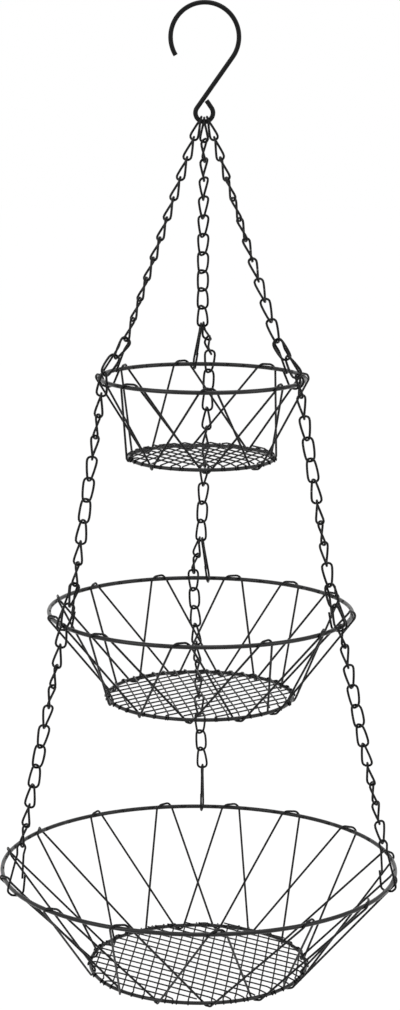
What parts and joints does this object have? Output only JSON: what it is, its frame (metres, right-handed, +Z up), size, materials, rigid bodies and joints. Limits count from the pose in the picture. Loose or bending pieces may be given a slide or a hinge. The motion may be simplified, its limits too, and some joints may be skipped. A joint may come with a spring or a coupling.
{
  "type": "hanging basket",
  "caption": "Tiered hanging basket of painted steel wire: round openwork baskets that widen downwards, hung on chains of twisted links from a ceiling hook.",
  "frame": {"origin": "top of the inside of the hook's bend, where it bears on its support", "axes": "+Z up along the hanging axis, +X to the right in the hook's plane, +Y to the back"},
  "size_m": [0.3064, 0.3128, 0.7368],
  "materials": {
    "hook_paint": "satin black coating on steel wire",
    "chain_paint": "satin black coating on steel wire",
    "hanger_paint": "satin black coating on steel wire",
    "rim_paint": "satin black coating on steel wire",
    "side_wire_paint": "satin black coating on steel wire",
    "net_paint": "satin black coating on steel wire"
  },
  "bodies": {
    "hook": {"ceiling_hook": "hook_paint"},
    "eye_links": {"hook_links": "chain_paint"},
    "top_tier": {"top_base_ring": "rim_paint", "top_carry_back": "chain_paint", "top_carry_left": "chain_paint", "top_carry_right": "chain_paint", "top_hanger_back": "hanger_paint", "top_hanger_left": "hanger_paint", "top_hanger_right": "hanger_paint", "top_net": "net_paint", "top_rim": "rim_paint", "top_side_wire_a": "side_wire_paint", "top_side_wire_b": "side_wire_paint", "top_chain_left": "chain_paint", "top_chain_back": "chain_paint", "top_chain_right": "chain_paint"},
    "middle_run_left": {"middle_chain_left": "chain_paint"},
    "middle_run_back": {"middle_chain_back": "chain_paint"},
    "middle_run_right": {"middle_chain_right": "chain_paint"},
    "middle_tier": {"middle_base_ring": "rim_paint", "middle_carry_back": "chain_paint", "middle_carry_left": "chain_paint", "middle_carry_right": "chain_paint", "middle_hanger_back": "hanger_paint", "middle_hanger_left": "hanger_paint", "middle_hanger_right": "hanger_paint", "middle_net": "net_paint", "middle_rim": "rim_paint", "middle_side_wire_a": "side_wire_paint", "middle_side_wire_b": "side_wire_paint"},
    "bottom_run_left": {"bottom_chain_left": "chain_paint"},
    "bottom_run_back": {"bottom_chain_back": "chain_paint"},
    "bottom_run_right": {"bottom_chain_right": "chain_paint"},
    "bottom_tier": {"bottom_base_ring": "rim_paint", "bottom_hanger_back": "hanger_paint", "bottom_hanger_left": "hanger_paint", "bottom_hanger_right": "hanger_paint", "bottom_net": "net_paint", "bottom_rim": "rim_paint", "bottom_side_wire_a": "side_wire_paint", "bottom_side_wire_b": "side_wire_paint"}
  },
  "joints": [
    {"name": "side_swing", "type": "hinge", "parent": "hook", "child": "eye_links", "pos_m": [0, 0, -0.07745], "axis": [0, 1, 0], "range_deg": [-15, 15]},
    {"name": "front_swing", "type": "hinge", "parent": "eye_links", "child": "top_tier", "pos_m": [0, 0, -0.09541], "axis": [1, 0, 0], "range_deg": [-15, 15]},
    {"name": "middle_sway", "type": "hinge", "parent": "top_tier", "child": "middle_run_back", "pos_m": [0.00544, 0.08557, -0.27775], "axis": [0, 1, 0], "range_deg": [-8, 8]},
    {"name": "middle_sway_left", "type": "hinge", "parent": "top_tier", "child": "middle_run_left", "pos_m": [-0.07347, -0.04456, -0.27878], "axis": [-0.0125, 0.9956, -0.0933], "range_deg": [-8.15, 8.15]},
    {"name": "middle_sway_right", "type": "hinge", "parent": "top_tier", "child": "middle_run_right", "pos_m": [0.07155, -0.04755, -0.27878], "axis": [0.0084, 0.9988, -0.0489], "range_deg": [-8.18, 8.18]},
    {"name": "middle_level", "type": "hinge", "parent": "middle_run_back", "child": "middle_tier", "pos_m": [0.00004, 0.10887, -0.4163], "axis": [-0.0558, 0.9984, 0], "range_deg": [-6.34, 6.34]},
    {"name": "bottom_sway", "type": "hinge", "parent": "middle_tier", "child": "bottom_run_back", "pos_m": [-0.00528, 0.12324, -0.45998], "axis": [0, 1, 0], "range_deg": [-8, 8]},
    {"name": "bottom_sway_left", "type": "hinge", "parent": "middle_tier", "child": "bottom_run_left", "pos_m": [-0.10253, -0.06859, -0.46107], "axis": [0.0082, 0.999, 0.0436], "range_deg": [-8.18, 8.18]},
    {"name": "bottom_sway_right", "type": "hinge", "parent": "middle_tier", "child": "bottom_run_right", "pos_m": [0.10521, -0.06409, -0.46113], "axis": [-0.0219, 0.9945, 0.1026], "range_deg": [-8.15, 8.15]},
    {"name": "bottom_level", "type": "hinge", "parent": "bottom_run_back", "child": "bottom_tier", "pos_m": [0.0025, 0.14561, -0.61445], "axis": [0.041, 0.9992, 0], "range_deg": [-6.3, 6.3]}
  ],
  "couplings": [
    {"joint": "middle_sway_left", "follows": "middle_sway", "ratio": 0.99773},
    {"joint": "middle_sway_right", "follows": "middle_sway", "ratio": 1.001},
    {"joint": "middle_level", "follows": "middle_sway", "ratio": -0.776},
    {"joint": "bottom_sway_left", "follows": "bottom_sway", "ratio": 1.0014},
    {"joint": "bottom_sway_right", "follows": "bottom_sway", "ratio": 0.99729},
    {"joint": "bottom_level", "follows": "bottom_sway", "ratio": -0.77131}
  ]
}
